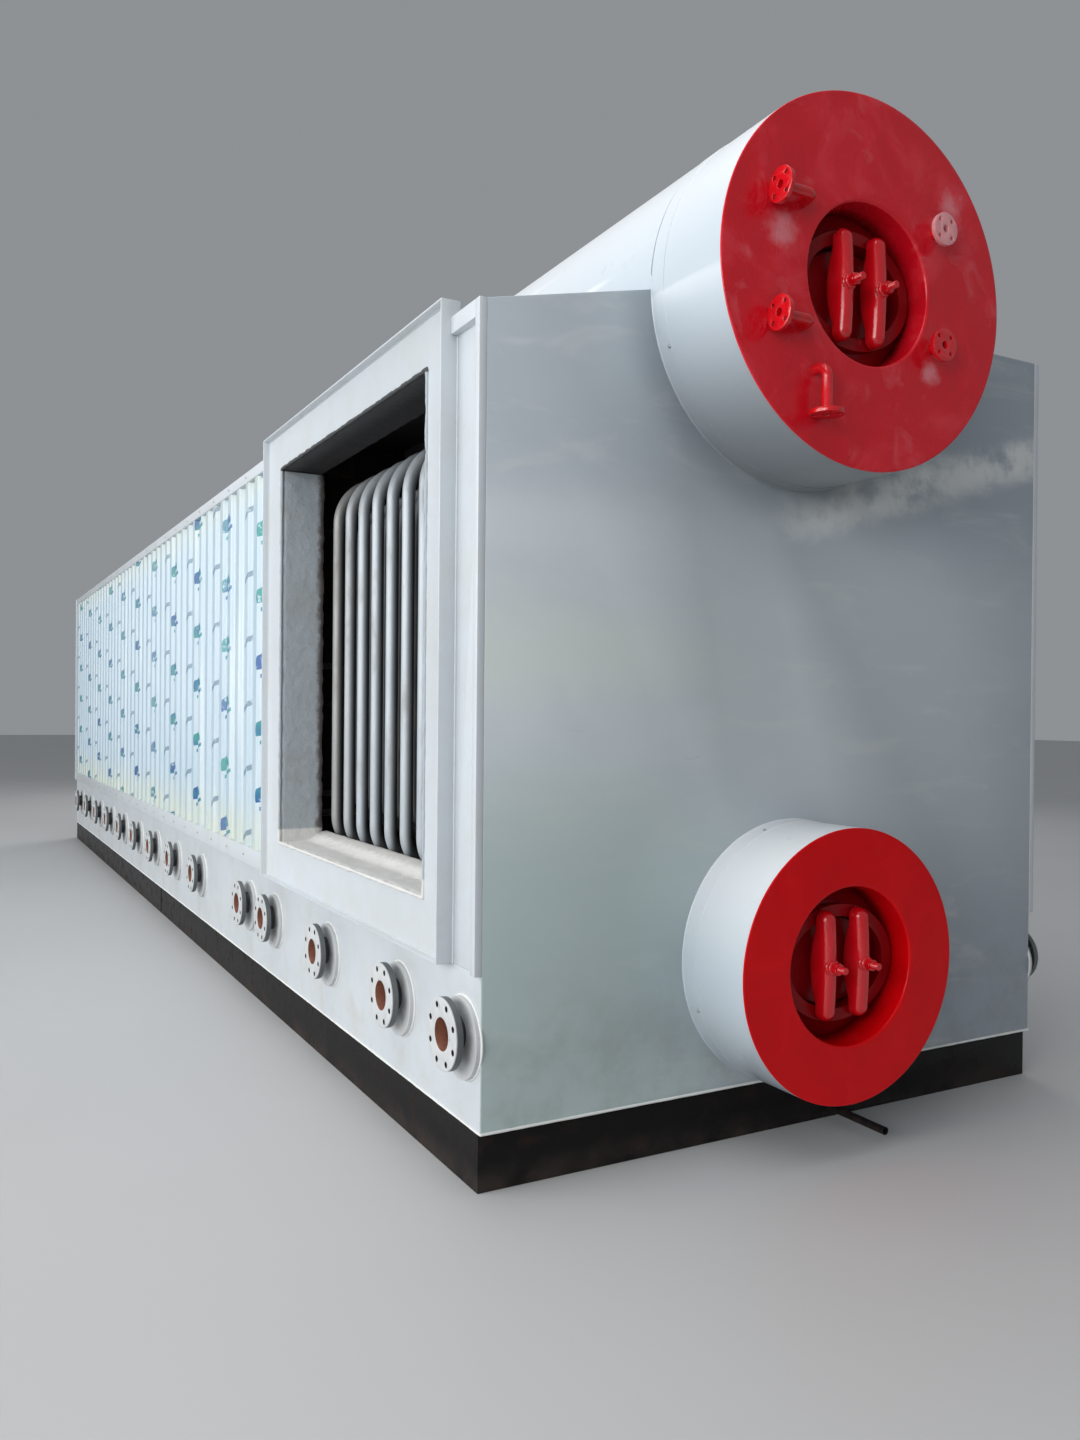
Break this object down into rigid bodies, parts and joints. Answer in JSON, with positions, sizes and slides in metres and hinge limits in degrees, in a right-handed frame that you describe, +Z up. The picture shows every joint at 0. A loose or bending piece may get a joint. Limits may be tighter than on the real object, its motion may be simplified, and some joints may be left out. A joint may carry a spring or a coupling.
{
  "type": "industrial water-tube boiler",
  "caption": "Long box-shaped water-tube boiler on a channel base, with an upper and a lower drum, red drum ends with manholes, a side flue outlet and ribbed cladding.",
  "frame": {"origin": "on the floor under the middle of the base", "axes": "+Z up, +Y along the casing away from the drum end with the gauge nozzles, +X towards the side without the flue outlet"},
  "size_m": [2.572, 11.2564, 3.386],
  "materials": {
    "base_paint": "satin black paint, dusty and worn",
    "grey_paint": "satin light blue-grey paint, brushed unevenly",
    "jacket_paint": "satin light blue-grey paint on rolled sheet",
    "side_paint": "satin pale blue-grey paint",
    "ribbed_sheet": "pale coated ribbed sheet under a thin protective film",
    "refractory": "rough cast refractory, painted thinly with grey",
    "drum_steel": "bare rolled plate",
    "red_paint": "glossy red paint with brush marks",
    "tube_paint": "satin light grey paint",
    "nozzle_paint": "pale grey paint, bores left to rust"
  },
  "bodies": {
    "root": {"base_rail_left": "base_paint", "base_rail_right": "base_paint", "base_end_beams": "base_paint", "base_cross_beams": "base_paint", "floor_plate": "base_paint", "drain_pipe": "base_paint", "end_plate_front": "grey_paint", "end_plate_rear": "grey_paint", "side_band_left": "side_paint", "side_band_right": "side_paint", "cladding_left": "ribbed_sheet", "cladding_right": "ribbed_sheet", "top_trims": "side_paint", "foot_trims": "side_paint", "corner_posts": "grey_paint", "recess_panel": "side_paint", "flat_panel": "side_paint", "roof_left": "grey_paint", "roof_right": "grey_paint", "lining_left": "refractory", "lining_right": "refractory", "band_linings": "refractory", "end_linings": "refractory", "partition": "refractory", "flue_frame": "side_paint", "flue_lining": "refractory", "upper_drum_shell": "drum_steel", "upper_head_front": "red_paint", "upper_head_rear": "red_paint", "upper_jacket_front": "jacket_paint", "upper_jacket_rear": "jacket_paint", "upper_jacket_top": "jacket_paint", "upper_cover_front": "red_paint", "upper_cover_rear": "red_paint", "lower_drum_shell": "drum_steel", "lower_head_front": "red_paint", "lower_head_rear": "red_paint", "lower_jacket_front": "jacket_paint", "lower_jacket_rear": "jacket_paint", "lower_cover_front": "red_paint", "lower_cover_rear": "red_paint", "manhole_plates": "red_paint", "manhole_yokes": "red_paint", "manhole_studs": "red_paint", "gauge_nozzles": "red_paint", "blowdown_nozzle": "red_paint", "tubes_left": "tube_paint", "tubes_right": "tube_paint", "tubes_middle": "tube_paint", "side_nozzles_left": "nozzle_paint", "side_nozzles_right": "nozzle_paint"}
  },
  "joints": []
}
